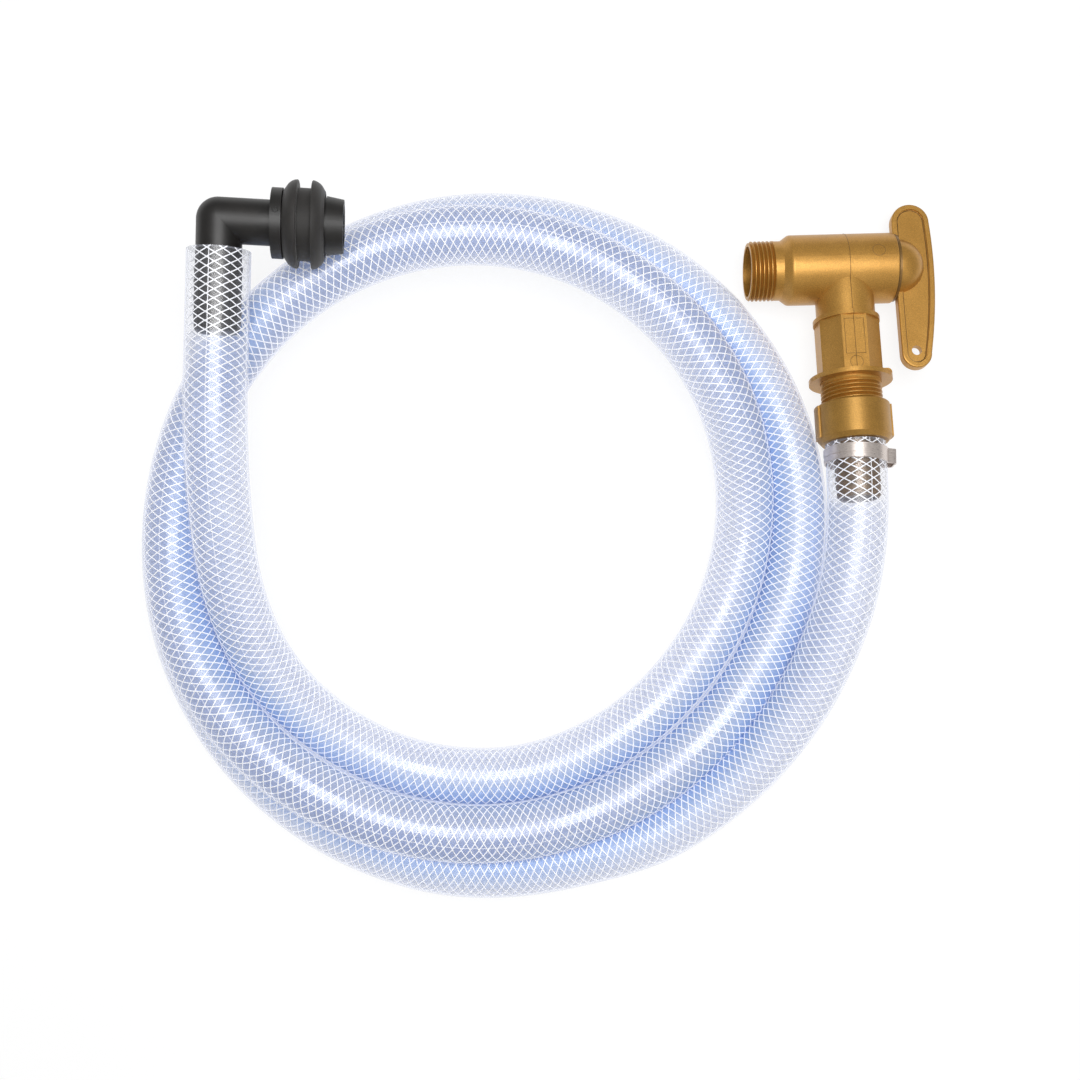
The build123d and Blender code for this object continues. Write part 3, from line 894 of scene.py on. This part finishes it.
def strap(points, width, thickness, axis):
    """Rings of a flat strip that follows a line of points, its width along an axis, its corners eased."""
    corners = [(-1, 0.7), (-0.97, 1), (0.97, 1), (1, 0.7), (1, -0.7), (0.97, -1), (-0.97, -1), (-1, -0.7)]
    rings = []
    for i, place in enumerate(points):
        ahead, behind = points[min(i + 1, len(points) - 1)], points[max(i - 1, 0)]
        out = (ahead - behind).normalized().cross(axis)
        rings.append([
            place + axis * (a * width / 2) + out * (b * thickness / 2)
            for a, b in corners
        ])
    return rings


def make_clamp(skin):
    """Single-ear clamp: a thin band, its overlapping tongue, and the pinched ear."""
    middle = TAP_CENTRE + BRANCH_DIR * CLAMP_MIDDLE
    tilt = Matrix.Rotation(CLAMP_TILT, 3, TAP_UP)
    axis, across = tilt @ BRANCH_DIR, tilt @ BARREL_DIR

    def arc(radius, first, last, count):
        turns = [math.radians(first + (last - first) * i / count) for i in range(count + 1)]
        return [around(middle, across, TAP_UP, turn, radius * MM) for turn in turns]

    def flat(x, y):
        return middle + (across * x + TAP_UP * y) * MM

    band = arc(13.35, 20, 340, 80)
    ear = [flat(14.2, -4.2), flat(15.4, -4.0), flat(16.1, -3.5), flat(16.4, -2.6), flat(16.2, 0),
           flat(16.4, 2.6), flat(16.1, 3.5), flat(15.4, 4.0), flat(14.2, 4.2)]
    loop = band + [flat(13.3, -4.4)] + ear + [flat(13.3, 4.4), band[0]]
    under_ear = arc(13.1, -24, 24, 12)
    tongue = arc(13.78, 98, 186, 24)
    strips = [  # line, width, thickness and shift along the hose, in mm
        (loop, 6.5, 0.7, 0.0),
        (under_ear, 4.6, 0.4, 0.0),
        (tongue, 3.4, 0.5, -0.9),
        (tongue, 0.9, 0.3, 2.5),
    ]
    verts, faces = joined(
        strap([place + axis * (shift * MM) for place in line], width * MM, thickness * MM, axis)
        for line, width, thickness, shift in strips
    )
    piece = mesh_piece("clamp_band", verts, faces, skin)
    piece.data.set_sharp_from_angle(angle=SHARP_ANGLE)
    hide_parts("hose_clamp")


def gate_ring(skin):
    """The small round mark on the elbow's flange."""
    spot = ELBOW_CORNER + NOSE_DIR * GATE_ALONG_NOSE
    elbow_up = LEG_FLAT.cross(NOSE_DIR)
    ring = []
    for i in range(25):
        turn = 2 * math.pi * i / 24
        lean = (GATE_ROUND_FLANGE + GATE_R * math.sin(turn)) / ELBOW_FLANGE_R
        out = elbow_up * math.cos(lean) - LEG_FLAT * math.sin(lean)
        ring.append(spot + NOSE_DIR * GATE_R * math.cos(turn) + out * ELBOW_FLANGE_R)
    joined_beads("gate_ring", [(ring, MARK_R)], skin)


def make_fittings():
    """Materials for the CAD nodes, and the pieces added to or standing for them."""
    gold = gold_plastic("gold_plastic", (0.45, 0.226, 0.04), (0.57, 0.302, 0.064))
    rubbed_gold = gold_plastic("gold_plastic_rubbed", (0.36, 0.185, 0.035), (0.5, 0.27, 0.055))
    # A darker copy of the gold, painted shade: for the seam at the retaining ring, the moulding marks and the
    # lever's rim line.
    shaded_gold = gold_plastic("gold_plastic_painted_shade", (0.2, 0.11, 0.03), (0.27, 0.15, 0.045))
    rubber = seal_rubber()
    black = black_plastic()
    dress("tap_handle", gold, 0.2 * MM)
    dress("union_nut", rubbed_gold, 0.25 * MM)
    # The whole ring in the darker gold: painted shade in the seam between barrel and dome.
    dress("retaining_ring", shaded_gold)
    for node in ("plug_seal_inner", "plug_seal_outer", "tail_seal"):
        dress(node, rubber)
    dress("valve_plug", plug_plastic())
    dress("hose_tail", tail_plastic())
    dress("elbow", black, 0.3 * MM)
    dress("rubber_grommet", grommet_rubber(), 0.3 * MM)
    threaded_tap(gold)
    # The moulding marks in the darker gold, so they read as lines of painted shade.
    mould_marks(shaded_gold)
    lever_rim_line(shaded_gold)
    make_clamp(steel())
    gate_ring(black)


# ---- stage ----
def make_floor():
    """A plain pale floor, partly self-lit so that it stays white and almost free of shadow."""
    made, tree, shader = material("floor")
    speck = noise(tree, 8, 2)
    tree.links.new(ramp(tree, speck, [(0.0, (0.17, 0.17, 0.17)), (1.0, (0.19, 0.19, 0.19))]),
                   shader.inputs["Base Color"])
    shader.inputs["Roughness"].default_value = 0.9
    shader.inputs["Specular IOR Level"].default_value = 0.1
    shader.inputs["Emission Color"].default_value = (1, 1, 1, 1)
    shader.inputs["Emission Strength"].default_value = 0.84
    mesh = bpy.data.meshes.new("floor")
    corners = [(FLOOR_HALF * x, FLOOR_HALF * y, 0) for x, y in ((-1, -1), (1, -1), (1, 1), (-1, 1))]
    mesh.from_pydata(corners, [], [(0, 1, 2, 3)])
    mesh.materials.append(made)
    floor = bpy.data.objects.new("floor", mesh)
    scene.collection.objects.link(floor)


def make_studio():
    """A grey room that is brighter overhead, a broad light above and a weak one from the side."""
    world = bpy.data.worlds.new("studio")
    scene.world = world
    world.use_nodes = True
    tree = world.node_tree
    background = tree.nodes["Background"]
    sky = add_node(tree, "ShaderNodeTexCoord")
    height = add_node(tree, "ShaderNodeSeparateXYZ")
    tree.links.new(sky.outputs["Generated"], height.inputs["Vector"])
    tree.links.new(span(tree, height.outputs["Z"], 0.2, 0.4), background.inputs["Strength"])
    background.inputs["Color"].default_value = (1.0, 1.0, 1.0, 1)

    for name, place, size, power in [
        ("key", (0.04, 0.06, 1.0), 0.72, 7.8),
        ("fill", (0.9, -0.7, 0.9), 0.9, 1.2),
    ]:
        lamp = bpy.data.lights.new(name, "AREA")
        lamp.shape = "DISK"
        lamp.size = size
        lamp.energy = power
        holder = bpy.data.objects.new(name, lamp)
        holder.location = place
        aim = LIGHTS_AIM - Vector(place)
        holder.rotation_euler = aim.to_track_quat("-Z", "Y").to_euler()
        scene.collection.objects.link(holder)
    scene.view_settings.view_transform = "Standard"
    scene.cycles.transparent_max_bounces = 40


camera()
make_hose()
make_fittings()
make_floor()
make_studio()
